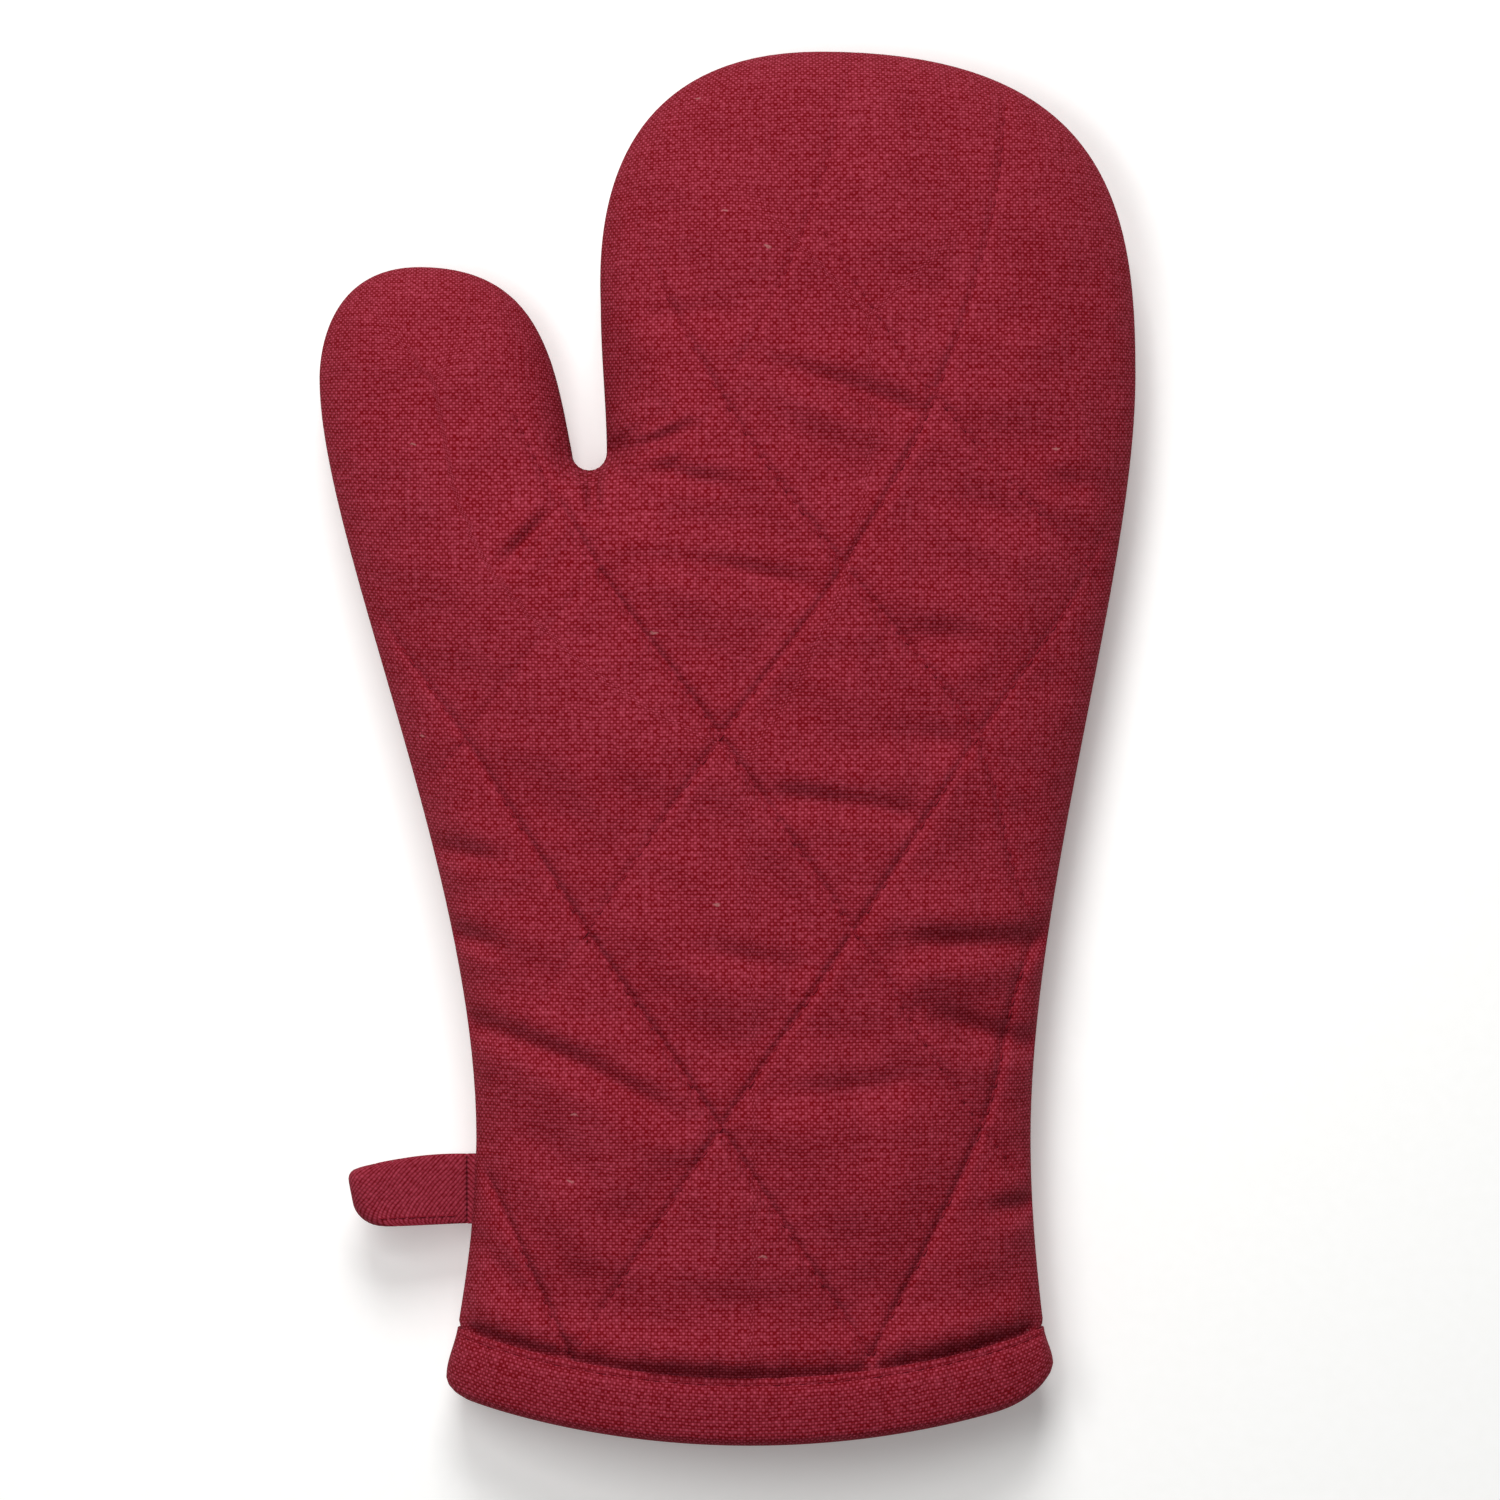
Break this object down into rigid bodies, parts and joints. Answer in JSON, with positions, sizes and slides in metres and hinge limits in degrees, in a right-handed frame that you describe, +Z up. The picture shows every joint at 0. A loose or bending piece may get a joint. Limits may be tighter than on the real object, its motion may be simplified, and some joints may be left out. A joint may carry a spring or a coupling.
{
  "type": "oven mitt",
  "caption": "Quilted cotton oven mitt with a separate thumb, a bound cuff and a sewn hanging loop, lying flat; it shields a hand from hot cookware.",
  "frame": {"origin": "on the table, under the middle of the mitt's box", "axes": "+Y from the cuff to the fingertips, +X away from the thumb, +Z up from the table through the front panel"},
  "size_m": [0.1757, 0.2997, 0.0363],
  "materials": {
    "cover_cotton": "coarse plain-woven dyed cotton, matt",
    "batting": "lofted cotton wadding",
    "lining_cotton": "fine plain-woven natural cotton, matt",
    "binding_cotton": "coarse plain-woven dyed cotton, folded",
    "loop_cotton": "plain-woven dyed cotton cut on the bias, folded",
    "thread": "twisted cotton sewing thread"
  },
  "bodies": {
    "mitt": {"front_cover": "cover_cotton", "front_batting": "batting", "front_lining": "lining_cotton", "front_quilting": "thread", "back_cover": "cover_cotton", "back_batting": "batting", "back_lining": "lining_cotton", "back_quilting": "thread", "side_seam": "thread", "cuff_binding": "binding_cotton", "binding_stitching": "thread", "loop_tail": "loop_cotton"},
    "loop": {"hanging_loop": "loop_cotton", "loop_stitching": "thread"}
  },
  "joints": [
    {"name": "loop_swing", "type": "hinge", "parent": "mitt", "child": "loop", "pos_m": [-0.05723, -0.0951, 0.015], "axis": [0, 1, 0], "range_deg": [-85, 85], "stiffness_Nm_per_rad": 0.002}
  ]
}
